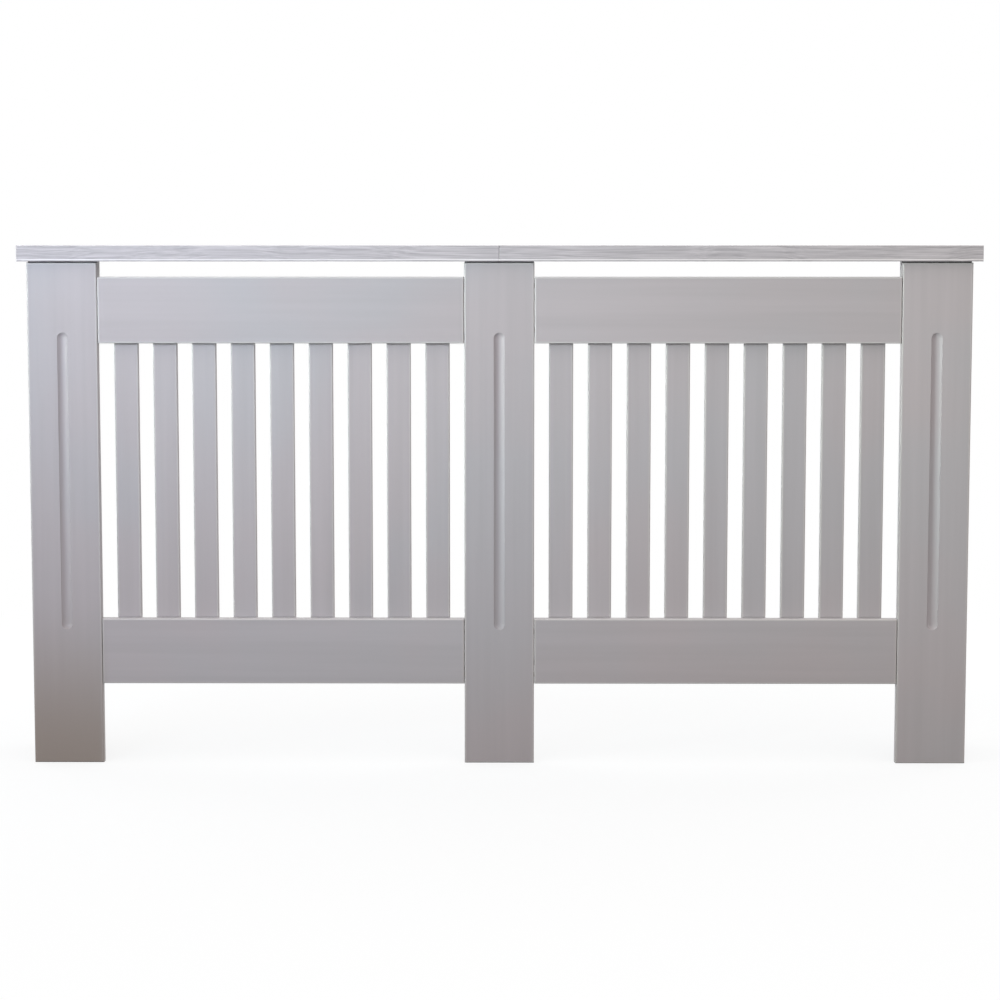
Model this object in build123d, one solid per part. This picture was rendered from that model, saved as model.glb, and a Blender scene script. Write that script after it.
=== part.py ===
from build123d import *
import os

# A flat-pack radiator cover. Millimetres, +Z up, the origin on the floor under the centre
# of its box: the front faces -Y, and the side panels' rear edges (+Y) stand at the wall.

# --- overall sizes ---------------------------------------------------------------------
carcass_width = 1480.0  # over the outer faces of the two outer posts
overall_height = 820.0
overall_depth = 190.0  # front edge of the top boards to the wall

# --- boards ----------------------------------------------------------------------------
panel_thickness = 15.0  # posts, rails and side panels
board_thickness = 25.0
front_overhang = 12.5  # boards' front edges past the posts
end_overhang = 13.0  # boards' outer ends past the posts
edging_thickness = 1.0
edging_radius = 0.8
seam_gap = 0.4  # between the two top boards
arris_radius = 2.0  # eased front edges of the posts and rails

# --- front -----------------------------------------------------------------------------
post_width = 110.0
post_shadow_gap = 1.8  # between a post's top and the boards
rail_height = 104.0
vent_height = 24.0  # slot between the top rails and the boards
floor_clearance = 127.5  # under the bottom rails
rail_end_gap = 0.3  # between a rail's end and a post's edge
flute_width = 17.5
flute_depth = 4.2
flute_bottom = 214.0
flute_top_margin = 136.0  # from the flute's top end up to the boards' top face

# --- slats -----------------------------------------------------------------------------
slats_per_bay = 9
slat_width = 38.0
slat_thickness = 9.0
slat_overlap = 40.0  # on the back of each rail
slat_arris = 2.0
pin_radius = 0.6
pin_bite = 10.0  # into the rail
pin_spacing = 18.0  # between the two pins of one joint

# --- carcass ---------------------------------------------------------------------------
notch_height = 130.0  # over the skirting board
notch_depth = 20.0
batten_width = 60.0
batten_thickness = 18.0  # centre batten, and the cleats behind the outer posts' tops
plate_inset = 0.5  # plate's sides, in from the centre post's edges
plate_thickness = 15.0
plate_setback = 4.0  # plate's rear edge, in from the wall
cleat_height = 30.0
cleat_inset = 0.5  # cleat's end, in from the post's inner edge

# --- fasteners -------------------------------------------------------------------------
bore_clearance = 0.15  # radial, round every fastener that is let into a board
cam_radius = 7.5
cam_setback = 24.0  # cam's centre to the joint
cam_skin = 2.5  # board left under a cam's bore
cam_recess = 0.5  # cam's face below the board's face
cam_slot_length = 9.0  # cross slot in the cam's face
cam_slot_width = 2.0
cam_slot_depth = 2.0
bolt_bite = 10.5
bolt_thread_radius = 3.0
bolt_shank_radius = 3.5
bolt_neck_radius = 2.2
bolt_head_radius = 3.3
bolt_head_length = 3.0
dowel_radius = 4.0
dowel_length = 30.0
dowel_bite = 11.0
dowel_chamfer = 0.8
rail_cam_margin = 33.0  # from a rail's edge away from the slats
rail_dowel_margins = (14.0, 83.0)
side_cam_margin = 110.0  # lowest and highest cam of a side panel, from its ends
top_cam_front_margin = 45.0  # cams of a side panel's top edge, from its front end
top_cam_rear_margin = 63.0  # and from the wall, in front of a bracket
top_dowel_margins = (20.0, 30.0)  # dowels of that edge, from the same two ends
screw_radius = 2.0
screw_head_radius = 4.0
screw_slot_length = 4.4  # cross slot in a countersunk head
screw_slot_width = 0.9
screw_slot_depth = 1.0
screw_tip_skin = 3.0  # of a post, left in front of a batten's screw
screw_end_margin = 60.0  # batten's end screws, from its ends
batten_screw_offset = 20.0  # from the centre line, clear of the flute
plate_screw_offset = 30.0  # from the seam
plate_screw_margin = 35.0
plate_batten_screw_offset = 15.0
cleat_post_screw_margin = 12.0  # screws into the post, from the cleat's ends
cleat_post_screw_drop = 19.0  # and below the boards
cleat_board_screw_margin = 28.0  # screws up into the board, from the cleat's ends
counterbore_radius = 4.5  # where their heads sit inside the cleat

# --- wall brackets ---------------------------------------------------------------------
bracket_thickness = 2.0
bracket_width = 20.0
bracket_leg = 40.0
bracket_wall_hole_radius = 2.5
bracket_hole_radius = 2.1
bracket_hole_offset = 26.0  # wall hole, from the corner
bracket_screw_offsets = (12.0, 30.0)  # holes of the other leg, from the corner
bracket_screw_radius = 1.75
bracket_screw_head_radius = 3.5
bracket_screw_head_height = 2.2
bracket_screw_slot_width = 0.8
bracket_screw_bite = 10.0

# --- levels and lines that follow from them --------------------------------------------
wall_y = overall_depth / 2
front_y = -wall_y + front_overhang  # front faces of the posts and rails
frame_back_y = front_y + panel_thickness  # backs of the posts and rails
frame_mid_y = front_y + panel_thickness / 2
slat_back_y = frame_back_y + slat_thickness
batten_back_y = frame_back_y + batten_thickness
batten_mid_y = frame_back_y + batten_thickness / 2
plate_back_y = wall_y - plate_setback

underside_z = overall_height - board_thickness
top_rail_z = underside_z - vent_height - rail_height  # lower edge of the top rails
bottom_rail_top_z = floor_clearance + rail_height
plate_z = underside_z - plate_thickness
bracket_wall_z = plate_z - bracket_hole_offset

outer_x = carcass_width / 2
side_inner_x = outer_x - panel_thickness
board_end_x = outer_x + end_overhang
outer_post_x = outer_x - post_width / 2  # an outer post's centre line
bay_start_x = post_width / 2  # bay edge beside the centre post
bay_end_x = outer_x - post_width
bay_width = bay_end_x - bay_start_x
cleat_start_x = bay_end_x + cleat_inset  # a cleat runs from here to the side panel
slat_gap = (bay_width - slats_per_bay * slat_width) / (slats_per_bay + 1)
slat_pitch = slat_width + slat_gap
flute_radius = (flute_width**2 / 4 + flute_depth**2) / (2 * flute_depth)

cam_bore_depth = panel_thickness - cam_skin
cam_height = cam_bore_depth - cam_recess
screw_length = batten_thickness + panel_thickness - screw_tip_skin
side_signs = {"left": -1, "right": 1}


# --- shapes used by several pieces -----------------------------------------------------
def block(x_range, y_range, z_range):
    """A box between two limits on each axis."""
    size = [high - low for low, high in (x_range, y_range, z_range)]
    middle = [(high + low) / 2 for low, high in (x_range, y_range, z_range)]
    return Pos(*middle) * Box(*size)


def rod(radius, start, end):
    """A cylinder along +Z of the local frame, from start to end."""
    return Pos(0, 0, (start + end) / 2) * Cylinder(radius, end - start)


def eased_board(x_range, z_range):
    """A post or rail of the front frame, with its front edges eased."""
    board = block(x_range, (front_y, frame_back_y), z_range)
    return fillet(board.faces().sort_by(Axis.Y)[0].edges(), arris_radius)


def ordered(sign, a, b):
    """The x range between two distances from the centre, on the side given by sign."""
    return tuple(sorted((sign * a, sign * b)))


# --- fasteners, each in a frame of its own ---------------------------------------------
# A joint's frame has its origin in a board's middle plane where the two boards meet, +Z
# into the board that holds the cam, and +X out of the face that the cam is let into.
def joint_frame(origin, into, face_out):
    return Plane(origin=origin, x_dir=face_out, z_dir=into).location


def cam_axis():
    """From the board's middle plane, the cam's frame: +Z out of the cam's face."""
    return Pos(panel_thickness / 2, 0, cam_setback) * Rot(0, 90, 0)


def bolt_head_span():
    """The bolt's head, centred in the cam, from its start to its end."""
    return cam_setback - bolt_head_length / 2, cam_setback + bolt_head_length / 2


def cam_disc():
    """A zinc disc with a cavity for the bolt's head and a cross slot in its face."""
    top = -cam_recess
    disc = cam_axis() * rod(cam_radius - bore_clearance, top - cam_height, top)
    slot = Box(cam_slot_length, cam_slot_width, 2 * cam_slot_depth)
    for turn in (0, 90):
        disc -= cam_axis() * Pos(0, 0, top) * Rot(0, 0, turn) * slot
    head_start, head_end = bolt_head_span()
    chamber = rod(
        bolt_head_radius + bore_clearance, head_start - bore_clearance, head_end + bore_clearance
    )
    channel = rod(bolt_neck_radius + bore_clearance, 0, head_start)
    return disc - chamber - channel


def cam_bolt():
    """A thread in one board, a shank in the other, and a necked head inside the cam."""
    neck_start = cam_setback - cam_radius
    head_start, head_end = bolt_head_span()
    return (
        rod(bolt_thread_radius, -bolt_bite, 0)
        + rod(bolt_shank_radius, 0, neck_start)
        + rod(bolt_neck_radius, neck_start, head_start)
        + rod(bolt_head_radius, head_start, head_end)
    )


def cam_bores():
    """What a cam joint takes out of the two boards that it joins."""
    thread = rod(bolt_thread_radius + bore_clearance, -bolt_bite - bore_clearance, 0)
    shank = rod(bolt_shank_radius + bore_clearance, 0, cam_setback)
    pocket = cam_axis() * rod(cam_radius, -cam_bore_depth, cam_skin)
    return [thread, shank, pocket]


def dowel():
    peg = rod(dowel_radius, -dowel_bite, dowel_length - dowel_bite)
    return chamfer(peg.edges().filter_by(GeomType.CIRCLE), dowel_chamfer)


def dowel_bore():
    start = -dowel_bite - bore_clearance
    end = dowel_length - dowel_bite + bore_clearance
    return rod(dowel_radius + bore_clearance, start, end)


def pin():
    return rod(pin_radius, -slat_thickness, pin_bite)


def pin_bore():
    return rod(pin_radius + bore_clearance, -slat_thickness, pin_bite + bore_clearance)


def head_cone(clearance):
    """The countersunk head, its flat face at the local origin."""
    wide = screw_head_radius + clearance
    narrow = screw_radius + clearance
    depth = screw_head_radius - screw_radius
    return Pos(0, 0, depth / 2) * Cone(wide, narrow, depth)


def wood_screw():
    """A countersunk screw along +Z, its head's face at the local origin."""
    body = head_cone(0) + rod(screw_radius, 0, screw_length)
    slot = Box(screw_slot_length, screw_slot_width, 2 * screw_slot_depth)
    return body - Rot(0, 0, 45) * slot - Rot(0, 0, -45) * slot


def wood_screw_bore():
    shank = rod(screw_radius + bore_clearance, 0, screw_length + bore_clearance)
    return head_cone(bore_clearance) + shank


def bracket_screw():
    """A pan-head screw along +Z, the underside of its head at the local origin."""
    head = rod(bracket_screw_head_radius, -bracket_screw_head_height, 0)
    head = fillet(head.edges().sort_by(Axis.Z)[0], bracket_screw_head_height / 2)
    slot = Box(bracket_screw_head_radius, bracket_screw_slot_width, bracket_screw_head_height)
    head -= Pos(0, 0, -bracket_screw_head_height) * slot
    return head + rod(bracket_screw_radius, 0, bracket_thickness + bracket_screw_bite)


def bracket_screw_bore():
    end = bracket_thickness + bracket_screw_bite + bore_clearance
    return rod(bracket_screw_radius + bore_clearance, 0, end)


# --- where the fasteners sit -----------------------------------------------------------
def rail_end_joints(margins):
    """Frames on both ends of all four rails, from the posts into the rails."""
    levels = [top_rail_z + rail_height - margin for margin in margins]
    levels += [floor_clearance + margin for margin in margins]
    frames = []
    for z in levels:
        for sign in (-1, 1):
            for x, inward in ((bay_start_x, sign), (bay_end_x, -sign)):
                origin = (sign * x, frame_mid_y, z)
                frames.append(joint_frame(origin, (inward, 0, 0), (0, 1, 0)))
    return frames


def side_front_joints(heights):
    """Frames from the outer posts' backs into the side panels' front edges."""
    frames = []
    for sign in (-1, 1):
        for z in heights:
            origin = (sign * (outer_x - panel_thickness / 2), frame_back_y, z)
            frames.append(joint_frame(origin, (0, 1, 0), (-sign, 0, 0)))
    return frames


def side_top_joints(depths):
    """Frames from the top boards' undersides into the side panels' top edges."""
    frames = []
    for sign in (-1, 1):
        for y in depths:
            origin = (sign * (outer_x - panel_thickness / 2), y, underside_z)
            frames.append(joint_frame(origin, (0, 0, -1), (-sign, 0, 0)))
    return frames


side_cam_low = side_cam_margin
side_cam_high = underside_z - side_cam_margin
side_cam_middle = (side_cam_low + side_cam_high) / 2
side_cam_levels = (side_cam_low, side_cam_middle, side_cam_high)
side_dowel_levels = [(a + b) / 2 for a, b in zip(side_cam_levels, side_cam_levels[1:])]
top_cam_depths = (frame_back_y + top_cam_front_margin, wall_y - top_cam_rear_margin)
top_dowel_depths = (frame_back_y + top_dowel_margins[0], wall_y - top_dowel_margins[1])

cam_joints = (
    rail_end_joints((rail_cam_margin,))
    + side_front_joints(side_cam_levels)
    + side_top_joints(top_cam_depths)
)
dowel_joints = (
    rail_end_joints(rail_dowel_margins)
    + side_front_joints(side_dowel_levels)
    + side_top_joints(top_dowel_depths)
)


def slat_centres(sign):
    """Slat centre lines of one bay, from its left end to its right end."""
    first = bay_start_x + slat_gap + slat_width / 2
    return sorted(sign * (first + i * slat_pitch) for i in range(slats_per_bay))


def pin_frames():
    """Two pins through each end of each slat, driven forward into the rail."""
    levels = (bottom_rail_top_z - slat_overlap / 2, top_rail_z + slat_overlap / 2)
    frames = []
    for sign in (-1, 1):
        for centre in slat_centres(sign):
            for z in levels:
                for offset in (-pin_spacing / 2, pin_spacing / 2):
                    origin = (centre + offset, frame_back_y, z)
                    frames.append(joint_frame(origin, (0, -1, 0), (1, 0, 0)))
    return frames


def batten_screw_frames():
    """Screws through the batten into the centre post, from behind."""
    heights = (screw_end_margin, plate_z - screw_end_margin)
    return [
        joint_frame((x, batten_back_y, z), (0, -1, 0), (1, 0, 0))
        for x in (-batten_screw_offset, batten_screw_offset)
        for z in (heights[0], sum(heights) / 2, heights[1])
    ]


def plate_screw_frames():
    """Screws up through the seam plate into both top boards."""
    first, last = batten_back_y + plate_screw_margin, plate_back_y - plate_screw_margin
    return [
        joint_frame((x, y, plate_z), (0, 0, 1), (1, 0, 0))
        for x in (-plate_screw_offset, plate_screw_offset)
        for y in (first, last)
    ]


def plate_batten_screw_frames():
    """Screws down through the seam plate into the batten's top end."""
    return [
        joint_frame((x, batten_mid_y, underside_z), (0, 0, -1), (1, 0, 0))
        for x in (-plate_batten_screw_offset, plate_batten_screw_offset)
    ]


def cleat_post_screw_frames():
    """Screws through the cleats into the outer posts, from behind."""
    margin = cleat_post_screw_margin
    z = underside_z - cleat_post_screw_drop
    return [
        joint_frame((sign * x, batten_back_y, z), (0, -1, 0), (1, 0, 0))
        for sign in (-1, 1)
        for x in (cleat_start_x + margin, side_inner_x - margin)
    ]


def cleat_board_screw_frames():
    """Screws up through the cleats into the boards, their heads in counterbores."""
    margin = cleat_board_screw_margin
    z = underside_z - batten_thickness
    return [
        joint_frame((sign * x, batten_mid_y, z), (0, 0, 1), (1, 0, 0))
        for sign in (-1, 1)
        for x in (cleat_start_x + margin, side_inner_x - margin)
    ]


wood_screw_joints = (
    batten_screw_frames()
    + plate_screw_frames()
    + plate_batten_screw_frames()
    + cleat_post_screw_frames()
    + cleat_board_screw_frames()
)


# A bracket's frame has its origin at the corner, its wall leg along +X with the wall
# behind it at -Z, and its board leg along +Z.
def bracket_frames():
    forward = (0, -1, 0)
    return {
        "left": joint_frame((-side_inner_x, wall_y, bracket_wall_z), forward, (1, 0, 0)),
        "centre": joint_frame((0, wall_y, plate_z), forward, (0, 0, -1)),
        "right": joint_frame((side_inner_x, wall_y, bracket_wall_z), forward, (-1, 0, 0)),
    }


def bracket_screw_places():
    """Screw frames within a bracket's frame, from its leg's inner face into the board."""
    return [Pos(bracket_thickness, 0, z) * Rot(0, -90, 0) for z in bracket_screw_offsets]


def bracket():
    """An angle of bent steel strip with one wall hole and two holes for its screws."""
    wall_leg = Pos(bracket_leg / 2, 0, bracket_thickness / 2) * Box(
        bracket_leg, bracket_width, bracket_thickness
    )
    board_leg = Pos(bracket_thickness / 2, 0, bracket_leg / 2) * Box(
        bracket_thickness, bracket_width, bracket_leg
    )
    angle = wall_leg + board_leg
    corner = angle.edges().filter_by(Axis.Y).sort_by(lambda e: e.center().length)
    angle = fillet(corner[0], bracket_thickness)
    hole = rod(bracket_wall_hole_radius, -bracket_thickness, 2 * bracket_thickness)
    angle -= Pos(bracket_hole_offset, 0, 0) * hole
    for place in bracket_screw_places():
        angle -= place * rod(bracket_hole_radius, -bracket_thickness, 2 * bracket_thickness)
    return angle


bracket_screw_joints = [
    frame * place for frame in bracket_frames().values() for place in bracket_screw_places()
]


# --- drilling --------------------------------------------------------------------------
bores = [frame * bore for frame in cam_joints for bore in cam_bores()]
bores += [frame * dowel_bore() for frame in dowel_joints]
bores += [frame * pin_bore() for frame in pin_frames()]
bores += [frame * wood_screw_bore() for frame in wood_screw_joints]
bores += [frame * bracket_screw_bore() for frame in bracket_screw_joints]


def boxes_meet(a, b):
    low = (max(a.min.X, b.min.X), max(a.min.Y, b.min.Y), max(a.min.Z, b.min.Z))
    high = (min(a.max.X, b.max.X), min(a.max.Y, b.max.Y), min(a.max.Z, b.max.Z))
    return all(bottom < top for bottom, top in zip(low, high))


def drilled(board):
    """The board with every bore that reaches into it cut out."""
    box = board.bounding_box()
    reaching = [bore for bore in bores if boxes_meet(box, bore.bounding_box())]
    return board - reaching if reaching else board


# --- pieces ----------------------------------------------------------------------------
def post(centre_x):
    """A front post with its round-bottomed flute, ending just under the boards."""
    half = post_width / 2
    board = eased_board((centre_x - half, centre_x + half), (0, underside_z - post_shadow_gap))
    start = flute_bottom + flute_width / 2
    end = overall_height - flute_top_margin - flute_width / 2
    cutter = rod(flute_radius, start, end)
    for z in (start, end):
        cutter += Pos(0, 0, z) * Sphere(flute_radius)
    return board - Pos(centre_x, front_y + flute_depth - flute_radius, 0) * cutter


def rail(sign, low_z):
    x_range = ordered(sign, bay_start_x + rail_end_gap, bay_end_x - rail_end_gap)
    return eased_board(x_range, (low_z, low_z + rail_height))


def slat(centre_x):
    x_range = (centre_x - slat_width / 2, centre_x + slat_width / 2)
    z_range = (bottom_rail_top_z - slat_overlap, top_rail_z + slat_overlap)
    strip = block(x_range, (frame_back_y, slat_back_y), z_range)
    front_edges = strip.faces().sort_by(Axis.Y)[0].edges().filter_by(Axis.Z)
    return fillet(front_edges, slat_arris)


def side_panel(sign):
    """A panel from the outer post back to the wall, notched over the skirting board."""
    x_range = ordered(sign, side_inner_x, outer_x)
    panel = block(x_range, (frame_back_y, wall_y), (0, underside_z))
    return panel - block(x_range, (wall_y - notch_depth, wall_y), (0, notch_height))


def top_board(sign):
    """Half of the top, its front and outer end edges left short for the edging."""
    x_range = ordered(sign, seam_gap / 2, board_end_x - edging_thickness)
    y_range = (-wall_y + edging_thickness, wall_y)
    return block(x_range, y_range, (underside_z, overall_height))


def front_edging(sign):
    """A strip along a board's front edge, its long front corners rounded."""
    x_range = ordered(sign, seam_gap / 2, board_end_x)
    strip = block(x_range, (-wall_y, -wall_y + edging_thickness), (underside_z, overall_height))
    return fillet(strip.faces().sort_by(Axis.Y)[0].edges(), edging_radius)


def end_edging(sign):
    """A strip along a board's outer end, its long outer corners rounded."""
    x_range = ordered(sign, board_end_x - edging_thickness, board_end_x)
    strip = block(x_range, (-wall_y + edging_thickness, wall_y), (underside_z, overall_height))
    outer = strip.faces().sort_by(Axis.X)[0 if sign < 0 else -1]
    return fillet(outer.edges().filter_by(Axis.Y), edging_radius)


def centre_batten():
    half = batten_width / 2
    return block((-half, half), (frame_back_y, batten_back_y), (0, plate_z))


def seam_plate():
    half = post_width / 2 - plate_inset
    return block((-half, half), (frame_back_y, plate_back_y), (plate_z, underside_z))


def post_cleat(sign):
    """A block that joins an outer post's top to the board and closes the gap over the post."""
    x_range = ordered(sign, cleat_start_x, side_inner_x)
    z_range = (underside_z - cleat_height, underside_z)
    cleat = block(x_range, (frame_back_y, batten_back_y), z_range)
    counterbore = rod(counterbore_radius, -cleat_height, 0)
    return cleat - [frame * counterbore for frame in cleat_board_screw_frames()]


# --- writing ---------------------------------------------------------------------------
os.makedirs("parts", exist_ok=True)


def write(name, shape):
    export_step(shape, f"parts/{name}.step")


def write_group(name, frames, piece):
    """Identical fasteners share one file, as separate solids."""
    write(name, Compound([frame * piece for frame in frames]))


for side, sign in side_signs.items():
    write(f"post_{side}", drilled(post(sign * outer_post_x)))
    write(f"top_rail_{side}", drilled(rail(sign, top_rail_z)))
    write(f"bottom_rail_{side}", drilled(rail(sign, floor_clearance)))
    for number, centre in enumerate(slat_centres(sign), start=1):
        write(f"slat_{side}_{number}", drilled(slat(centre)))
    write(f"top_board_{side}", drilled(top_board(sign)))
    write(f"front_edging_{side}", front_edging(sign))
    write(f"end_edging_{side}", end_edging(sign))
    write(f"side_panel_{side}", drilled(side_panel(sign)))
    write(f"post_cleat_{side}", drilled(post_cleat(sign)))

write("post_centre", drilled(post(0)))
write("centre_batten", drilled(centre_batten()))
write("seam_plate", drilled(seam_plate()))
for place, frame in bracket_frames().items():
    write(f"wall_bracket_{place}", frame * bracket())

write_group("cam_discs", cam_joints, cam_disc())
write_group("cam_bolts", cam_joints, cam_bolt())
write_group("dowels", dowel_joints, dowel())
write_group("slat_pins", pin_frames(), pin())
write_group("wood_screws", wood_screw_joints, wood_screw())
write_group("bracket_screws", bracket_screw_joints, bracket_screw())
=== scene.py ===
"""Finishes and studio for a slatted radiator cover cabinet.

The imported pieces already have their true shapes, so each of them stays and gets its finish here: sprayed
satin paint, wood-grain laminate with its edging, zinc and steel fittings, and beech dowels. The studio is
a pale floor, soft lamps and a camera in front. Everything is in metres, the front faces -Y, the wall is at
+Y, and textures are laid out in the same frame, so that they run on from piece to piece.
"""
import math

import bpy
from mathutils import Matrix, Vector


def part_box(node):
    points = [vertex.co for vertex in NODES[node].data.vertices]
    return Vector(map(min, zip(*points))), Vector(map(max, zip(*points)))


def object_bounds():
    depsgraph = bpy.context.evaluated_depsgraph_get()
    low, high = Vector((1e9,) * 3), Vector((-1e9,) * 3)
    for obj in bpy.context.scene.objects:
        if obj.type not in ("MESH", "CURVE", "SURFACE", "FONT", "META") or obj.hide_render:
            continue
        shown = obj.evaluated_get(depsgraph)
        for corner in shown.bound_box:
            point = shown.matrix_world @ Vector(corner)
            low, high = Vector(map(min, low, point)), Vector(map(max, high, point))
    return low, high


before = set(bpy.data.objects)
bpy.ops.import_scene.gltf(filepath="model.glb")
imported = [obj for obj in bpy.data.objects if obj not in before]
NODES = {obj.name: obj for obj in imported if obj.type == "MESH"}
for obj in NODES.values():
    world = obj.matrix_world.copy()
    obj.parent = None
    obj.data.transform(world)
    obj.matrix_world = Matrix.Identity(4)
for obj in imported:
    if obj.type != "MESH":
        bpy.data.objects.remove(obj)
CAD_BOX = [list(corner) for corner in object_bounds()]

bl_info = {
    "name": "Radiator cover finishes",
    "version": (1, 0, 0),
    "blender": (4, 5, 0),
    "location": "3D View > Sidebar > Radiator cover",
    "description": "Gives the pieces of a slatted radiator cover their finishes, and sets up a studio",
    "category": "Object",
}

BOARD_LOW, BOARD_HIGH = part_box("top_board_left")
BOARD_MIDDLE_Z = (BOARD_LOW.z + BOARD_HIGH.z) / 2
BOARD_THICKNESS = BOARD_HIGH.z - BOARD_LOW.z
FRONT_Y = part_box("post_centre")[0].y
SIDES = ("left", "right")
SLATS_PER_BAY = sum(name.startswith("slat_left_") for name in NODES)


# --- settings --------------------------------------------------------------------------
def length(name, description, default):
    return bpy.props.FloatProperty(
        name=name, description=description, default=default, min=0.0, precision=5,
        subtype="DISTANCE", unit="LENGTH",
    )


def colour(name, description, default):
    return bpy.props.FloatVectorProperty(
        name=name, description=description, default=default, size=3, min=0.0, max=1.0, subtype="COLOR"
    )


def amount(name, description, default, high=1.0):
    return bpy.props.FloatProperty(name=name, description=description, default=default, min=0.0, max=high)


def tones(name, description, default):
    return bpy.props.FloatVectorProperty(
        name=name, description=description, default=default, size=len(default), min=0.8, max=1.2
    )


class PaintSettings(bpy.types.PropertyGroup):
    """Sprayed satin paint on fibreboard."""

    cool: colour("Cool grey", "The paint where it drifts towards blue", (0.411, 0.411, 0.432))
    warm: colour("Warm grey", "The paint where it drifts towards pink", (0.426, 0.408, 0.425))
    # Painted highlight: a paler colour along every arris, standing in for light on the rounded edges.
    edge: colour("Edge", "Thin, polished paint along the arrises", (0.49, 0.49, 0.492))
    # Painted highlight: a stronger pale line along the rails' long arrises and the posts' tops.
    arris_highlight: colour("Shine", "Paint along the rails' long arrises and the posts' tops", (0.61, 0.61, 0.615))
    arris_highlight_width: length("Shine width", "Width of that line", 0.0022)
    # Painted light: per-piece tones that make whole posts and rails paler or darker where the light falls
    # more or less on them.
    post_light_tones: tones("Post tones", "How pale the left, centre and right posts are", (0.985, 0.98, 1.06))
    top_rail_light_tones: tones("Top rail tones", "How pale the left and right top rails are", (0.97, 0.99))
    bottom_rail_light_tones: tones("Bottom rail tones", "How pale the two bottom rails are", (1.025, 1.0))
    # Painted shade: a darker, warmer colour towards the floor, most at the left end.
    low_shade: colour("Dust", "Dust on the lowest parts, most of it at the left end", (0.305, 0.270, 0.240))
    # Painted shade: a near-black colour in corners, joints and under overhangs, where ambient occlusion is
    # deep.
    corner_shade: colour("Grime", "Dark dust in the corners and joints", (0.05, 0.05, 0.052))
    corner_shade_reach: length("Grime reach", "How far the grime comes out of a corner", 0.006)
    low_shade_height: length("Dust height", "How far up the dust reaches", 0.28)
    low_shade_spread: length("Dust spread", "Width of the dusty stretch at the left end", 0.125)
    drift: length("Drift", "Size of the broad patches where the tint drifts", 0.30)
    streak: length("Streak", "Width of the faint spray bands", 0.018)
    peel: length("Orange peel", "Size of the dimples in the sprayed film", 0.0016)
    peel_depth: length("Peel depth", "Depth of those dimples", 0.00003)
    # Width and depth of the painted highlight along the arrises.
    edge_width: length("Edge width", "How far an arris thins the paint on a face", 0.0034)
    highlight_depth: length("Edge depth", "How far it does so in a narrow joint", 0.0015)


class LaminateSettings(bpy.types.PropertyGroup):
    """Light grey wood-grain laminate and its edging."""

    light: colour("Light grain", "Early wood", (0.561, 0.547, 0.574))
    dark: colour("Dark grain", "Late wood", (0.302, 0.295, 0.315))
    pore: colour("Pores", "Short dark pores", (0.315, 0.31, 0.33))
    # Painted highlight: pale lines along the edging, most just over its lower arris.
    edge: colour("Edge", "Polished lines along the edging, where the print wears thin", (0.76, 0.755, 0.77))
    edge_width: length("Edge width", "Width of those lines", 0.0014)
    streak: length("Streak", "Width of the grain's streaks", 0.0019)
    streak_length: length("Streak length", "Length of the grain's streaks", 0.11)
    ring: length("Ring", "Distance between two growth rings", 0.0075)
    core_light: colour("Core chips", "Light chips in the board's core", (0.56, 0.42, 0.27))
    core_dark: colour("Core binder", "Dark chips in the board's core", (0.30, 0.20, 0.12))
    skin: length("Skin", "Thickness of the laminate over the core", 0.0006)


class FittingSettings(bpy.types.PropertyGroup):
    """Metal fittings and wooden dowels."""

    zinc: colour("Zinc plate", "Galvanised brackets", (0.62, 0.64, 0.66))
    casting: colour("Zinc casting", "Cam discs", (0.50, 0.51, 0.52))
    steel: colour("Steel", "Screws, bolts and pins", (0.60, 0.60, 0.61))
    beech: colour("Beech", "Dowels", (0.60, 0.42, 0.25))
    beech_dark: colour("Beech grain", "Flecks and lines in the dowels", (0.42, 0.26, 0.14))


class StudioSettings(bpy.types.PropertyGroup):
    """Floor, lamps and camera."""

    floor_colour: colour("Floor", "Pale floor", (0.20, 0.22, 0.225))
    floor_size: length("Floor size", "Side of the square floor", 24.0)
    floor_glow: amount("Floor white", "How much white the floor and its view in gloss get", 0.80)
    floor_reach: length("Shadow reach", "Beyond this distance the floor is plain white", 1.6)
    ambient: amount("Ambient", "Strength of the even light from all round", 0.895, 2.0)
    lamps: amount("Lamps", "Scales the power of every lamp", 1.0, 20.0)
    camera_distance: length("Camera distance", "Lens to the front of the posts", 3.9)
    camera_side: bpy.props.FloatProperty(
        name="Camera side", description="Lens to the right of the centre line", default=0.0269,
        unit="LENGTH",
    )
    camera_height: length("Camera height", "Lens over the floor", 0.8049)
    camera_lens: bpy.props.FloatProperty(
        name="Lens", description="Focal length on a 36 mm sensor", default=89.51, min=1.0, unit="CAMERA"
    )
    camera_pitch: bpy.props.FloatProperty(
        name="Camera pitch", description="How far the camera looks down", default=0.0982,
        unit="ROTATION",
    )
    camera_yaw: bpy.props.FloatProperty(
        name="Camera yaw", description="How far the camera looks to the right", default=-0.0066,
        unit="ROTATION",
    )


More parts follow.
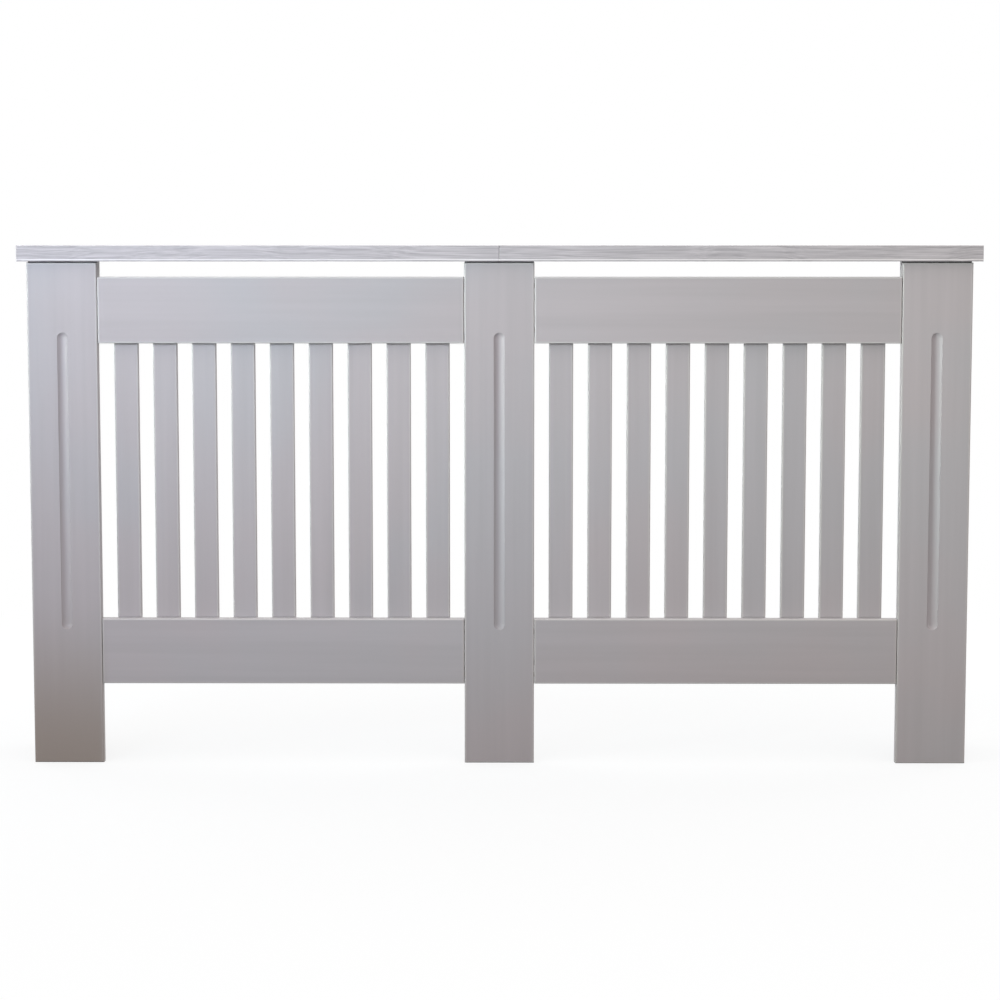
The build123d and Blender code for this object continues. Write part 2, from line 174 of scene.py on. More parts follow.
# --- node trees ------------------------------------------------------------------------
class Tree:
    """A node tree, with short calls that add nodes and join them."""

    def __init__(self, data):
        data.use_nodes = True
        self.nodes = data.node_tree.nodes
        self.links = data.node_tree.links

    def feed(self, socket, value):
        """Joins an output to a socket, or sets the socket's own value."""
        if isinstance(value, bpy.types.NodeSocket):
            self.links.new(value, socket)
        else:
            socket.default_value = value

    def add(self, kind, inputs=(), **settings):
        node = self.nodes.new(kind)
        for key, value in settings.items():
            setattr(node, key, value)
        for key, value in dict(inputs).items():
            self.feed(node.inputs[key], value)
        return node

    def coordinates(self):
        """Metres in the cabinet's frame."""
        return self.add("ShaderNodeTexCoord").outputs["Object"]

    def stretched(self, vector, sizes, offset=(0.0, 0.0, 0.0)):
        """Coordinates in which a feature of the given sizes, in metres, is one unit long."""
        inputs = {"Vector": vector, "Scale": [1 / size for size in sizes], "Location": offset}
        return self.add("ShaderNodeMapping", inputs, vector_type="POINT").outputs["Vector"]

    def noise(self, vector, detail=2.0, roughness=0.5):
        inputs = {"Vector": vector, "Scale": 1.0, "Detail": detail, "Roughness": roughness}
        return self.add("ShaderNodeTexNoise", inputs).outputs["Fac"]

    def flakes(self, vector):
        """A number for each flake of a mosaic, in which a flake is about one unit long."""
        mosaic = self.add("ShaderNodeTexVoronoi", {"Vector": vector, "Scale": 1.0})
        return self.axes(mosaic.outputs["Color"])[0]

    def ramp(self, value, start, end, low=0.0, high=1.0, smooth=True):
        """The value's stretch from start to end, as a stretch from low to high."""
        inputs = {"Value": value, "From Min": start, "From Max": end, "To Min": low, "To Max": high}
        kind = "SMOOTHSTEP" if smooth else "LINEAR"
        return self.add("ShaderNodeMapRange", inputs, interpolation_type=kind).outputs["Result"]

    def blend(self, share, first, second):
        """The first colour, with the given share of the second one over it."""
        node = self.add("ShaderNodeMix", data_type="RGBA")
        for socket, value in zip([s for s in node.inputs if s.enabled], (share, first, second)):
            self.feed(socket, rgba(value))
        return next(s for s in node.outputs if s.enabled)

    def math(self, how, first, second=0.0):
        node = self.add("ShaderNodeMath", operation=how)
        self.feed(node.inputs[0], first)
        self.feed(node.inputs[1], second)
        return node.outputs["Value"]

    def distance(self, first, second):
        """How far a point is from the middle, from its two coordinates."""
        squares = [self.math("MULTIPLY", value, value) for value in (first, second)]
        return self.math("SQRT", self.math("ADD", *squares))

    def axes(self, vector):
        node = self.add("ShaderNodeSeparateXYZ", {"Vector": vector})
        return node.outputs["X"], node.outputs["Y"], node.outputs["Z"]

    def corners(self, reach):
        """1 where the ambient occlusion is deep, in corners, joints and under overhangs where shade falls,
        and 0 on open faces.
        """
        open_share = self.add("ShaderNodeAmbientOcclusion", {"Distance": reach}, samples=8).outputs["AO"]
        return self.ramp(open_share, 0.25, 0.75, 1.0, 0.0)

    def bump(self, height, depth):
        inputs = {"Height": height, "Distance": depth, "Strength": 1.0}
        return self.add("ShaderNodeBump", inputs).outputs["Normal"]

    def box_shares(self):
        """How far along a point is in its piece's box, from 0 to 1 along X, Y and Z."""
        return self.axes(self.add("ShaderNodeTexCoord").outputs["Generated"])

    def near_edges(self, size, width, depth):
        """1 near the edges of a piece's box, of the given size, and 0 on its flats.

        A point is near an edge when it is near two of the box's faces. The width is the reach along X
        and Z, and the depth is the reach along Y, into the joints between the front's pieces.
        """
        gaps = []
        for share, whole, reach in zip(self.box_shares(), size, (width, depth, width)):
            off_middle = self.math("ABSOLUTE", self.math("SUBTRACT", share, 0.5))
            gaps.append(self.math("MULTIPLY", self.math("SUBTRACT", 0.5, off_middle), whole / reach))
        low = self.math("MINIMUM", gaps[0], gaps[1])
        high = self.math("MAXIMUM", gaps[0], gaps[1])
        second_smallest = self.math("MAXIMUM", low, self.math("MINIMUM", high, gaps[2]))
        return self.ramp(second_smallest, 0.6, 1.0, 1.0, 0.0)

    def end_line(self, end, height, width):
        """1 along the low or the high end of a piece of the given height, and 0 elsewhere."""
        up = self.box_shares()[2]
        share = width / height
        if end == "high":
            return self.ramp(up, 1 - share, 1 - share / 2)
        return self.ramp(up, share / 2, share, 1.0, 0.0)

    def band(self, value, start, end, soft):
        """1 where the value is between start and end, 0 elsewhere, with soft sides."""
        rise = self.ramp(value, start - soft / 2, start + soft / 2)
        fall = self.ramp(value, end - soft / 2, end + soft / 2, 1.0, 0.0)
        return self.math("MULTIPLY", rise, fall)

    def arris(self, width, sharpness):
        """1 along the edges of a piece and 0 on its flats."""
        rounded = self.add("ShaderNodeBevel", {"Radius": width}, samples=4).outputs["Normal"]
        plain = self.add("ShaderNodeNewGeometry").outputs["True Normal"]
        turn = self.add("ShaderNodeVectorMath", operation="DOT_PRODUCT")
        self.feed(turn.inputs[0], rounded)
        self.feed(turn.inputs[1], plain)
        return self.ramp(turn.outputs["Value"], 1.0 - sharpness, 1.0, 1.0, 0.0)


def rgba(value):
    """A colour of three numbers gets its fourth; anything else stays."""
    if isinstance(value, (int, float, bpy.types.NodeSocket)):
        return value
    return (*value[:3], 1.0)


def new_finish(name, inputs=()):
    """A material with one Principled shader, whose own sockets take the constant values."""
    material = bpy.data.materials.new(name)
    tree = Tree(material)
    shader = tree.nodes["Principled BSDF"]
    for key, value in dict(inputs).items():
        tree.feed(shader.inputs[key], value)
    return material, tree, shader


def box_size(name):
    low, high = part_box(name)
    return high - low


def give_finish(names, material):
    """Puts one finish in the material slots of the named pieces."""
    for name in names:
        if name not in NODES:
            raise RuntimeError(f"the cabinet has no piece named {name}")
        for slot in NODES[name].material_slots:
            slot.material = material


# --- finishes --------------------------------------------------------------------------
# The darkest and the palest shade of a spray band, and of a whole piece.
BAND_SHADES = (0.965, 1.035)
PIECE_SHADES = (0.985, 1.015)
# Painted shade near the floor: its share at the floor, what is left of it past the left end that gets most,
# and half the width of that change.
LOW_SHADE_AT_FLOOR = 0.95
LOW_SHADE_ELSEWHERE = 0.12
LOW_SHADE_FADE = 0.012
# The share of painted shade in the corners, joints and overhangs of the posts, of the rest of the front,
# and of what is behind it.
POST_CORNER_SHADE = 0.3
FRONT_CORNER_SHADE = 0.8
CARCASS_CORNER_SHADE = 0.97


def satin_paint(name, settings, run, like, corner_shade_share, arris_highlight=(), tone=1.0):
    """Satin paint. Its faint spray bands run along the axis given by run: 0 for X, 1 for Y and 2 for Z.

    It is for the piece named by like, and for others of the same size. Painted shade darkens it, up to the
    given share, in its corners and joints and under overhangs. Painted highlights pale its arrises, and
    pale most the level arrises asked for, low and high. Painted shade also darkens and warms it towards the
    floor, most at the left end. The tone is how pale the whole piece is, where 1 is plain: painted light,
    set per piece where the light falls more or less on it.
    """
    material, tree, shader = new_finish(name, {"Specular IOR Level": 0.42})
    where = tree.coordinates()

    drift = tree.noise(tree.stretched(where, [settings.drift] * 3), detail=2.0)
    tint = tree.blend(tree.ramp(drift, 0.38, 0.62), settings.cool, settings.warm)
    band_sizes = [settings.streak] * 3
    band_sizes[run] = settings.drift * 2
    band = tree.noise(tree.stretched(where, band_sizes), detail=3.0, roughness=0.55)
    band_shade = tree.ramp(band, 0.3, 0.7, *BAND_SHADES, smooth=False)
    piece = tree.add("ShaderNodeObjectInfo").outputs["Random"]
    # Painted light: the tone makes the whole piece paler or darker.
    darkest, palest = [shade * tone for shade in PIECE_SHADES]
    piece_shade = tree.ramp(piece, 0.0, 1.0, darkest, palest, smooth=False)
    toned = tree.add("ShaderNodeVectorMath", operation="SCALE")
    tree.feed(toned.inputs[0], tint)
    tree.feed(toned.inputs["Scale"], tree.math("MULTIPLY", band_shade, piece_shade))
    # Painted highlight: paler paint along every arris of the piece's box.
    arris_share = tree.near_edges(box_size(like), settings.edge_width, settings.highlight_depth)
    coated = tree.blend(arris_share, toned.outputs["Vector"], settings.edge)
    # Painted highlight: a stronger pale line along the level arrises asked for.
    for end in arris_highlight:
        line = tree.end_line(end, box_size(like).z, settings.arris_highlight_width)
        coated = tree.blend(line, coated, settings.arris_highlight)
    across, _, height = tree.axes(where)
    # Painted shade: darker and warmer towards the floor, most at the left end.
    low = tree.ramp(height, 0.0, settings.low_shade_height, LOW_SHADE_AT_FLOOR, 0.0)
    edge_x = CAD_BOX[0][0] + settings.low_shade_spread
    at_end = tree.ramp(across, edge_x - LOW_SHADE_FADE, edge_x + LOW_SHADE_FADE, 1.0, LOW_SHADE_ELSEWHERE)
    low_shaded = tree.blend(tree.math("MULTIPLY", low, at_end), coated, settings.low_shade)
    # Painted shade: dark where ambient occlusion is deep, in corners, joints and under overhangs.
    shaded = tree.math("MULTIPLY", tree.corners(settings.corner_shade_reach), corner_shade_share)
    tree.feed(shader.inputs["Base Color"], tree.blend(shaded, low_shaded, settings.corner_shade))

    patch = tree.noise(tree.stretched(where, (0.05, 0.05, 0.05)), detail=3.0)
    rough = tree.ramp(patch, 0.3, 0.7, 0.40, 0.50, smooth=False)
    polish = tree.math("MULTIPLY", arris_share, 0.08)
    tree.feed(shader.inputs["Roughness"], tree.math("SUBTRACT", rough, polish))

    peel = tree.noise(tree.stretched(where, [settings.peel] * 3), detail=1.0)
    wave = tree.noise(tree.stretched(where, (0.02, 0.02, 0.02)), detail=1.0)
    relief = tree.math("ADD", peel, tree.math("MULTIPLY", wave, 2.0))
    tree.feed(shader.inputs["Normal"], tree.bump(relief, settings.peel_depth))
    return material


PITH_DEPTH = 0.16  # the tree's middle, under the board's own
TRUNK_TAPER = 0.035
GRAIN_BEND = 0.05  # how far the grain wanders
GRAIN_RELIEF = 0.00006
# Where each side's boards and edgings lie in the print.
GRAIN_OFFSETS = {"left": (0.0, 0.0, 0.0), "right": (3.7, 5.3, 9.1)}


def wood_grain(tree, settings, where, run, offset):
    """Colour and relief of the laminate's printed grain, which runs along the axis given by run."""
    drift = tree.noise(tree.stretched(where, (0.35, 0.35, 0.35), offset), detail=2.0)
    bend = tree.math("MULTIPLY", tree.math("SUBTRACT", drift, 0.5), GRAIN_BEND)
    shifted = tree.add("ShaderNodeVectorMath", operation="ADD")
    tree.feed(shifted.inputs[0], where)
    tree.feed(shifted.inputs[1], bend)
    wavy = shifted.outputs["Vector"]

    sizes = [settings.streak] * 3
    sizes[run] = settings.streak_length
    streak = tree.noise(tree.stretched(wavy, sizes, offset), detail=4.0, roughness=0.62)
    fine = [size * 0.22 for size in sizes]
    pore = tree.noise(tree.stretched(wavy, fine, offset), detail=1.0)

    # Growth rings round a pith that lies under the board and runs along the grain.
    along, across, height = axes_for(tree, wavy, run)
    radius = tree.distance(across, tree.math("SUBTRACT", height, BOARD_MIDDLE_Z - PITH_DEPTH))
    tapered = tree.math("ADD", radius, tree.math("MULTIPLY", along, TRUNK_TAPER))
    turn = tree.math("MULTIPLY", tapered, 2 * math.pi / settings.ring)
    ring = tree.math("SINE", turn)

    streak_share = tree.ramp(streak, 0.30, 0.70, 0.0, 0.85, smooth=False)
    ring_share = tree.ramp(ring, -1.0, 1.0, 0.0, 0.15)
    tone = tree.blend(tree.math("ADD", streak_share, ring_share), settings.light, settings.dark)
    tone = tree.blend(tree.ramp(pore, 0.66, 0.78, 0.0, 0.55), tone, settings.pore)
    relief = tree.math("SUBTRACT", streak, tree.math("MULTIPLY", tree.ramp(pore, 0.62, 0.75), 0.6))
    return tone, relief


def axes_for(tree, vector, run):
    """The coordinate along the grain, the one across it, and the height."""
    x, y, z = tree.axes(vector)
    return (x, y, z) if run == 0 else (y, x, z)


def chip_core(tree, settings, where):
    """Colour and relief of the chipboard under the laminate, seen where the board is cut."""
    chip = tree.flakes(tree.stretched(where, (0.006, 0.003, 0.0016)))
    grit = tree.noise(tree.stretched(where, (0.0012, 0.0012, 0.0008)), detail=3.0)
    mixed = tree.math("ADD", tree.math("MULTIPLY", chip, 0.6), tree.math("MULTIPLY", grit, 0.5))
    return tree.blend(tree.ramp(mixed, 0.25, 0.85), settings.core_dark, settings.core_light), grit


def edging_highlight_lines(tree, settings, where):
    """Painted highlight on the edging: most just over its lower arris, and less at its upper one."""
    up = tree.math("SUBTRACT", tree.axes(where)[2], BOARD_LOW.z)
    line = settings.edge_width
    lower = tree.band(up, line * 1.5, line * 2.6, line * 0.3)
    upper = tree.ramp(up, BOARD_THICKNESS - line, BOARD_THICKNESS - line * 0.7, 0.0, 0.4)
    return tree.math("MAXIMUM", tree.math("MULTIPLY", lower, 0.9), upper)


def laminate(name, settings, run, offset, core=False):
    """Wood-grain laminate. With core, upright faces show the cut board; without, the edging gets painted
    highlight lines.
    """
    material, tree, shader = new_finish(name, {"Specular IOR Level": 0.35})
    where = tree.coordinates()
    tone, relief = wood_grain(tree, settings, where, run, offset)
    rough = tree.ramp(relief, 0.2, 0.8, 0.62, 0.46, smooth=False)
    if core:
        facing = tree.axes(tree.add("ShaderNodeTexCoord").outputs["Normal"])
        upright = tree.ramp(tree.math("ABSOLUTE", facing[2]), 0.5, 0.6, 1.0, 0.0)
        off_middle = tree.math("ABSOLUTE", tree.math("SUBTRACT", tree.axes(where)[2], BOARD_MIDDLE_Z))
        skin_start = BOARD_THICKNESS / 2 - settings.skin
        inside = tree.ramp(off_middle, skin_start, skin_start + settings.skin * 0.2, 1.0, 0.0)
        cut = tree.math("MULTIPLY", upright, inside)
        chips, grit = chip_core(tree, settings, where)
        tone = tree.blend(cut, tone, chips)
        rough = tree.math("ADD", rough, tree.math("MULTIPLY", cut, 0.35))
        relief = tree.math("ADD", relief, tree.math("MULTIPLY", tree.math("MULTIPLY", grit, cut), 6.0))
    else:
        tone = tree.blend(edging_highlight_lines(tree, settings, where), tone, settings.edge)
    tree.feed(shader.inputs["Base Color"], tone)
    tree.feed(shader.inputs["Roughness"], rough)
    tree.feed(shader.inputs["Normal"], tree.bump(relief, GRAIN_RELIEF))
    return material


# The duller or stained tint of each metal, and the bright one of its rubbed edges.
ZINC_DULL, ZINC_WORN = (0.48, 0.50, 0.53), (0.78, 0.79, 0.80)
CASTING_DULL, CASTING_WORN = (0.40, 0.405, 0.41), (0.72, 0.72, 0.73)
STEEL_STAIN, STEEL_WORN = (0.55, 0.54, 0.50), (0.80, 0.80, 0.80)


def zinc_plate(name, settings):
    """Galvanised strip: pale crystals, fine rolling lines and brighter edges."""
    material, tree, shader = new_finish(name, {"Metallic": 1.0})
    where = tree.coordinates()
    crystal = tree.flakes(tree.stretched(where, (0.0035, 0.0035, 0.0035)))
    lines = tree.noise(tree.stretched(where, (0.0006, 0.03, 0.0006)), detail=2.0)
    tone = tree.blend(tree.ramp(crystal, 0.0, 1.0, 0.0, 0.35), settings.zinc, ZINC_DULL)
    arris_share = tree.math("MULTIPLY", tree.arris(0.0006, 0.08), 0.6)
    tree.feed(shader.inputs["Base Color"], tree.blend(arris_share, tone, ZINC_WORN))
    crystal_rough = tree.ramp(crystal, 0.0, 1.0, 0.32, 0.48)
    line_rough = tree.ramp(lines, 0.3, 0.7, -0.04, 0.06)
    tree.feed(shader.inputs["Roughness"], tree.math("ADD", crystal_rough, line_rough))
    relief = tree.math("ADD", lines, tree.math("MULTIPLY", crystal, 0.5))
    tree.feed(shader.inputs["Normal"], tree.bump(relief, 0.00002))
    return material


def cast_zinc(name, settings):
    """Die-cast zinc with a grainy skin and brighter rims."""
    material, tree, shader = new_finish(name, {"Metallic": 1.0})
    where = tree.coordinates()
    grain = tree.noise(tree.stretched(where, (0.0007, 0.0007, 0.0007)), detail=4.0, roughness=0.6)
    patch = tree.noise(tree.stretched(where, (0.006, 0.006, 0.006)), detail=2.0)
    tone = tree.blend(tree.ramp(patch, 0.35, 0.65), settings.casting, CASTING_DULL)
    arris_share = tree.math("MULTIPLY", tree.arris(0.0004, 0.1), 0.7)
    tree.feed(shader.inputs["Base Color"], tree.blend(arris_share, tone, CASTING_WORN))
    tree.feed(shader.inputs["Roughness"], tree.ramp(grain, 0.3, 0.7, 0.42, 0.58))
    tree.feed(shader.inputs["Normal"], tree.bump(grain, 0.00003))
    return material


def plated_steel(name, settings):
    """Bright zinc-plated steel with fine turning marks."""
    material, tree, shader = new_finish(name, {"Metallic": 1.0})
    where = tree.coordinates()
    marks = tree.noise(tree.stretched(where, (0.004, 0.0003, 0.0003)), detail=2.0)
    stain = tree.noise(tree.stretched(where, (0.003, 0.003, 0.003)), detail=2.0)
    tone = tree.blend(tree.ramp(stain, 0.35, 0.7), settings.steel, STEEL_STAIN)
    arris_share = tree.math("MULTIPLY", tree.arris(0.0003, 0.1), 0.6)
    tree.feed(shader.inputs["Base Color"], tree.blend(arris_share, tone, STEEL_WORN))
    tree.feed(shader.inputs["Roughness"], tree.ramp(marks, 0.3, 0.7, 0.26, 0.40))
    tree.feed(shader.inputs["Normal"], tree.bump(marks, 0.00001))
    return material


def beech_wood(name, settings):
    """Turned beech with short dark flecks."""
    material, tree, shader = new_finish(name, {"Specular IOR Level": 0.3})
    where = tree.coordinates()
    fleck = tree.noise(tree.stretched(where, (0.0015, 0.0008, 0.0008)), detail=3.0)
    tone = tree.blend(tree.ramp(fleck, 0.45, 0.7), settings.beech, settings.beech_dark)
    tree.feed(shader.inputs["Base Color"], tone)
    tree.feed(shader.inputs["Roughness"], tree.ramp(fleck, 0.3, 0.7, 0.55, 0.70))
    tree.feed(shader.inputs["Normal"], tree.bump(fleck, 0.00005))
    return material


# --- operators: pieces -----------------------------------------------------------------
class COVER_OT_posts(bpy.types.Operator):
    """Paint the three fluted posts, with the spray bands upright"""

    bl_idname = "cover.posts"
    bl_label = "Paint posts"

    def execute(self, context):
        settings = context.scene.cover_paint
        # Each post gets its own tone of painted light.
        for place, tone in zip(("left", "centre", "right"), settings.post_light_tones):
            name = f"post_{place}"
            give_finish([name], satin_paint(f"paint_{name}", settings, 2, name, POST_CORNER_SHADE, ["high"], tone))
        return {"FINISHED"}


class COVER_OT_rails(bpy.types.Operator):
    """Paint the four rails, with the spray bands level"""

    bl_idname = "cover.rails"
    bl_label = "Paint rails"

    def execute(self, context):
        settings = context.scene.cover_paint
        # Each rail gets its own tone of painted light.
        level_light_tones = {"top": settings.top_rail_light_tones, "bottom": settings.bottom_rail_light_tones}
        for level, pair in level_light_tones.items():
            for side, tone in zip(SIDES, pair):
                name = f"{level}_rail_{side}"
                paint = satin_paint(f"paint_{name}", settings, 0, name, FRONT_CORNER_SHADE, ["low", "high"], tone)
                give_finish([name], paint)
        return {"FINISHED"}


class COVER_OT_slats(bpy.types.Operator):
    """Paint the slats of both bays"""

    bl_idname = "cover.slats"
    bl_label = "Paint slats"

    def execute(self, context):
        material = satin_paint("paint_slats", context.scene.cover_paint, 2, "slat_left_1", FRONT_CORNER_SHADE)
        numbers = range(1, SLATS_PER_BAY + 1)
        give_finish([f"slat_{side}_{number}" for side in SIDES for number in numbers], material)
        return {"FINISHED"}


class COVER_OT_carcass(bpy.types.Operator):
    """Paint the side panels, the centre batten, the post cleats and the seam plate"""

    bl_idname = "cover.carcass"
    bl_label = "Paint carcass"

    def execute(self, context):
        settings = context.scene.cover_paint
        both = {part: [f"{part}_{side}" for side in SIDES] for part in ("side_panel", "post_cleat")}
        for name, run, pieces in (
            ("paint_batten", 2, ["centre_batten"]),
            ("paint_plate", 1, ["seam_plate"]),
            ("paint_side_panels", 2, both["side_panel"]),
            ("paint_cleats", 0, both["post_cleat"]),
        ):
            give_finish(pieces, satin_paint(name, settings, run, pieces[0], CARCASS_CORNER_SHADE))
        return {"FINISHED"}


class COVER_OT_top_boards(bpy.types.Operator):
    """Cover the two top boards with laminate, and bare their core at the wall and the seam"""

    bl_idname = "cover.top_boards"
    bl_label = "Laminate top boards"

    def execute(self, context):
        settings = context.scene.cover_laminate
        for side in SIDES:
            name = f"top_board_{side}"
            give_finish([name], laminate(f"laminate_{side}", settings, 0, GRAIN_OFFSETS[side], core=True))
        return {"FINISHED"}


class COVER_OT_edgings(bpy.types.Operator):
    """Match the edging strips to the laminate, with the grain along each strip"""

    bl_idname = "cover.edgings"
    bl_label = "Finish edgings"

    def execute(self, context):
        settings = context.scene.cover_laminate
        for side in SIDES:
            for part, run in (("front", 0), ("end", 1)):
                name = f"{part}_edging_{side}"
                give_finish([name], laminate(f"laminate_{name}", settings, run, GRAIN_OFFSETS[side]))
        return {"FINISHED"}


class COVER_OT_brackets(bpy.types.Operator):
    """Galvanise the three wall brackets"""

    bl_idname = "cover.brackets"
    bl_label = "Galvanise brackets"

    def execute(self, context):
        material = zinc_plate("galvanised_strip", context.scene.cover_fittings)
        give_finish(["wall_bracket_left", "wall_bracket_centre", "wall_bracket_right"], material)
        return {"FINISHED"}


class COVER_OT_cams(bpy.types.Operator):
    """Finish the cam discs as die-cast zinc"""

    bl_idname = "cover.cams"
    bl_label = "Finish cam discs"

    def execute(self, context):
        give_finish(["cam_discs"], cast_zinc("cast_zinc", context.scene.cover_fittings))
        return {"FINISHED"}


class COVER_OT_steel(bpy.types.Operator):
    """Plate the screws, bolts and pins"""

    bl_idname = "cover.steel"
    bl_label = "Plate steel fasteners"

    def execute(self, context):
        material = plated_steel("plated_steel", context.scene.cover_fittings)
        give_finish(["cam_bolts", "wood_screws", "bracket_screws", "slat_pins"], material)
        return {"FINISHED"}


class COVER_OT_dowels(bpy.types.Operator):
    """Finish the dowels as beech"""

    bl_idname = "cover.dowels"
    bl_label = "Finish dowels"

    def execute(self, context):
        give_finish(["dowels"], beech_wood("beech", context.scene.cover_fittings))
        return {"FINISHED"}


# --- operator: studio ------------------------------------------------------------------
AMBIENT_LIGHT = (1.0, 0.905, 0.886)
COOL_LIGHT = (0.91, 1.0, 0.93)
BLUE_LIGHT = (0.70, 0.79, 1.0)
WARM_LIGHT = (1.0, 0.72, 0.48)
PLAIN_LIGHT = (1.0, 1.0, 1.0)
# Each lamp's place, power in watts, width, tint, the point it looks at, and its cone in degrees.
LAMPS = {
    "left_window": ((-4.6, -2.9, 1.3), 5.6, 1.0, COOL_LIGHT, (0.3, -0.08, 1.05), 24),
    "left_key": ((-1.6, -2.6, 1.2), 3.45, 0.7, BLUE_LIGHT, (-0.6, -0.08, 1.0), 50),
    "right_fill": ((2.5, -3.0, 0.9), 6.0, 1.4, WARM_LIGHT, (0.0, 0.0, 0.6), 180),
    "left_rim": ((-2.2, 1.6, 1.4), 8.0, 1.2, PLAIN_LIGHT, (0.0, 0.0, 0.41), 180),
    "right_rim": ((2.2, 1.6, 1.4), 8.0, 1.2, PLAIN_LIGHT, (0.0, 0.0, 0.41), 180),
}


def white_rays(tree):
    """1 for rays that show the backdrop: from the camera, off gloss and through glass."""
    path = tree.add("ShaderNodeLightPath").outputs
    shown = tree.math("MAXIMUM", path["Is Camera Ray"], path["Is Glossy Ray"])
    return tree.math("MAXIMUM", shown, path["Is Transmission Ray"])


def make_floor(settings):
    """A pale floor that reads as white, and keeps the cabinet's soft shadow."""
    half = settings.floor_size / 2
    corners = [(-half, -half, 0), (half, -half, 0), (half, half, 0), (-half, half, 0)]
    mesh = bpy.data.meshes.new("floor")
    mesh.from_pydata(corners, [], [(0, 1, 2, 3)])
    floor = bpy.data.objects.new("floor", mesh)
    bpy.context.scene.collection.objects.link(floor)
    material = bpy.data.materials.new("pale_floor")
    tree = Tree(material)
    tree.nodes.clear()
    where = tree.coordinates()
    fine = tree.noise(tree.stretched(where, (0.004, 0.004, 0.004)), detail=3.0)
    paler = [min(1.0, part * 1.06) for part in settings.floor_colour]
    matt = tree.add("ShaderNodeBsdfDiffuse", {"Color": tree.blend(fine, settings.floor_colour, paler)})
    shown = white_rays(tree)
    glow = tree.add("ShaderNodeEmission", {"Color": (1, 1, 1, 1)})
    tree.feed(glow.inputs["Strength"], tree.math("MULTIPLY", shown, settings.floor_glow))
    near = tree.add("ShaderNodeAddShader")
    tree.feed(near.inputs[0], matt.outputs["BSDF"])
    tree.feed(near.inputs[1], glow.outputs["Emission"])
    # The floor measures the distance from the cabinet's long box, not from its middle.
    x, y, _ = tree.axes(where)
    beside = tree.math("MAXIMUM", tree.math("SUBTRACT", tree.math("ABSOLUTE", x), CAD_BOX[1][0]), 0.0)
    far = tree.ramp(tree.distance(beside, y), settings.floor_reach * 0.4, settings.floor_reach)
    white = tree.add("ShaderNodeEmission", {"Color": (1, 1, 1, 1), "Strength": 1.0})
    choice = tree.add("ShaderNodeMixShader")
    tree.feed(choice.inputs[0], tree.math("MULTIPLY", far, shown))
    tree.feed(choice.inputs[1], near.outputs["Shader"])
    tree.feed(choice.inputs[2], white.outputs["Emission"])
    surface = tree.add("ShaderNodeOutputMaterial")
    tree.feed(surface.inputs["Surface"], choice.outputs["Shader"])
    mesh.materials.append(material)


def make_world(settings):
    """Even light from all round, with a white backdrop."""
    world = bpy.data.worlds.new("studio")
    bpy.context.scene.world = world
    tree = Tree(world)
    tree.nodes.clear()
    light = tree.add("ShaderNodeBackground", {"Color": rgba(AMBIENT_LIGHT), "Strength": settings.ambient})
    backdrop = tree.add("ShaderNodeBackground", {"Color": (1, 1, 1, 1), "Strength": 1.0})
    choice = tree.add("ShaderNodeMixShader")
    tree.feed(choice.inputs[0], white_rays(tree))
    tree.feed(choice.inputs[1], light.outputs["Background"])
    tree.feed(choice.inputs[2], backdrop.outputs["Background"])
    out = tree.add("ShaderNodeOutputWorld")
    tree.feed(out.inputs["Surface"], choice.outputs["Shader"])


def make_softbox(name, stand, watts, width, tint, aim, cone):
    """A square lamp that looks at a point, and lights a cone of the given angle in degrees."""
    lamp = bpy.data.lights.new(name, "AREA")
    lamp.energy = watts
    lamp.size = width
    lamp.color = tint
    lamp.spread = math.radians(cone)
    box = bpy.data.objects.new(name, lamp)
    bpy.context.scene.collection.objects.link(box)
    box.location = stand
    box.rotation_euler = (Vector(aim) - box.location).to_track_quat("-Z", "Y").to_euler()


def make_camera(settings):
    camera_data = bpy.data.cameras.new("camera")
    camera_data.lens = settings.camera_lens
    camera = bpy.data.objects.new("camera", camera_data)
    bpy.context.scene.collection.objects.link(camera)
    tilt = Matrix.Rotation(math.pi / 2 - settings.camera_pitch, 4, "X")
    swing = Matrix.Rotation(-settings.camera_yaw, 4, "Z")
    stand = Vector((settings.camera_side, FRONT_Y - settings.camera_distance, settings.camera_height))
    camera.matrix_world = Matrix.Translation(stand) @ swing @ tilt
    bpy.context.scene.camera = camera


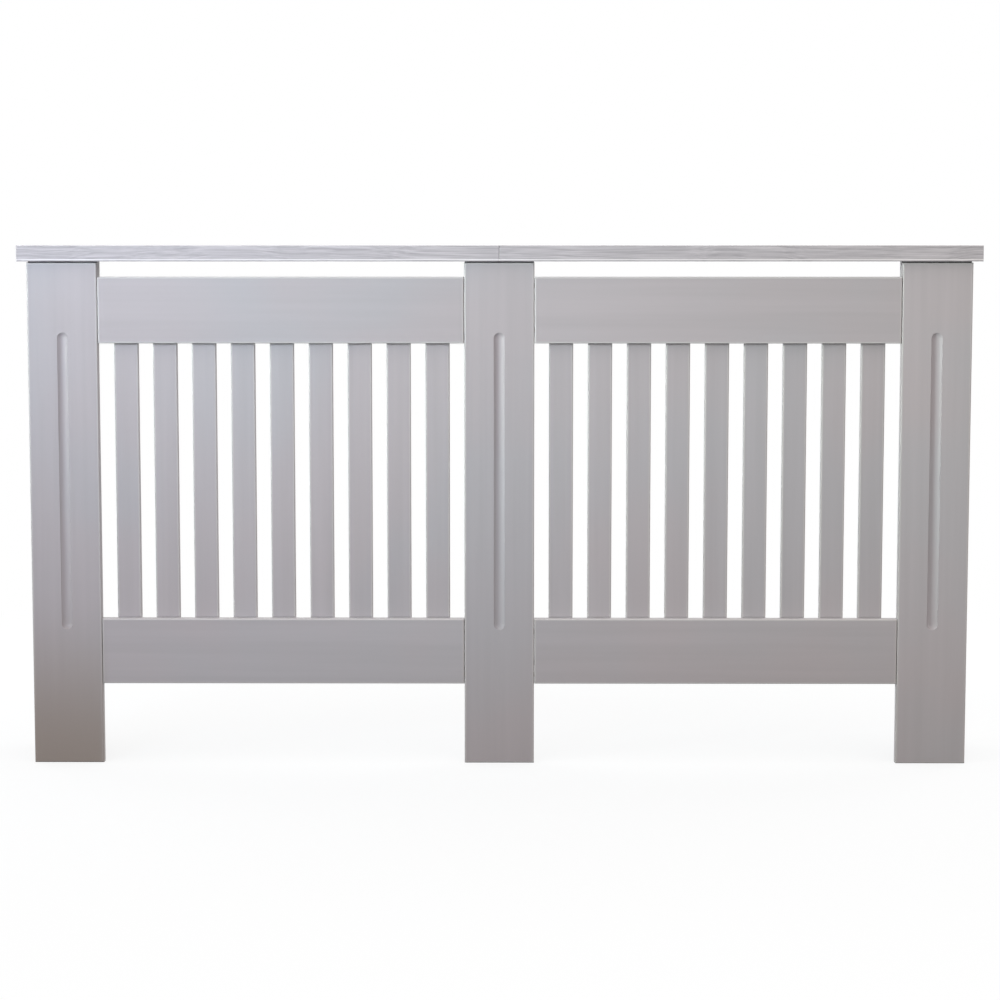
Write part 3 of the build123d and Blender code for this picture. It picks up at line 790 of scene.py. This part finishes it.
class COVER_OT_studio(bpy.types.Operator):
    """Set up the floor, the lamps, the white backdrop and the camera"""

    bl_idname = "cover.studio"
    bl_label = "Set up studio"

    def execute(self, context):
        settings = context.scene.cover_studio
        context.scene.view_settings.view_transform = "Standard"
        make_floor(settings)
        make_world(settings)
        for name, (stand, watts, width, tint, aim, cone) in LAMPS.items():
            make_softbox(name, stand, watts * settings.lamps, width, tint, aim, cone)
        make_camera(settings)
        return {"FINISHED"}


# --- panel and registration ------------------------------------------------------------
PIECE_OPERATORS = (
    COVER_OT_posts,
    COVER_OT_rails,
    COVER_OT_slats,
    COVER_OT_carcass,
    COVER_OT_top_boards,
    COVER_OT_edgings,
    COVER_OT_brackets,
    COVER_OT_cams,
    COVER_OT_steel,
    COVER_OT_dowels,
)
OPERATORS = (*PIECE_OPERATORS, COVER_OT_studio)
SETTINGS = {
    "cover_paint": PaintSettings,
    "cover_laminate": LaminateSettings,
    "cover_fittings": FittingSettings,
    "cover_studio": StudioSettings,
}


class COVER_PT_steps(bpy.types.Panel):
    """Lists the steps in the order in which they run"""

    bl_idname = "COVER_PT_steps"
    bl_label = "Radiator cover"
    bl_space_type = "VIEW_3D"
    bl_region_type = "UI"
    bl_category = "Radiator cover"

    def draw(self, context):
        for operator in OPERATORS:
            self.layout.operator(operator.bl_idname)
        for name in SETTINGS:
            group = getattr(context.scene, name)
            box = self.layout.box()
            for key in group.__annotations__:
                box.prop(group, key)


def register():
    for kind in (*SETTINGS.values(), *OPERATORS, COVER_PT_steps):
        bpy.utils.register_class(kind)
    for name, kind in SETTINGS.items():
        setattr(bpy.types.Scene, name, bpy.props.PointerProperty(type=kind))


def unregister():
    for name in SETTINGS:
        delattr(bpy.types.Scene, name)
    for kind in reversed((*SETTINGS.values(), *OPERATORS, COVER_PT_steps)):
        bpy.utils.unregister_class(kind)


def main():
    """Runs every step in order."""
    register()
    for operator in OPERATORS:
        group, step = operator.bl_idname.split(".")
        getattr(getattr(bpy.ops, group), step)()


if __name__ == "__main__":
    main()
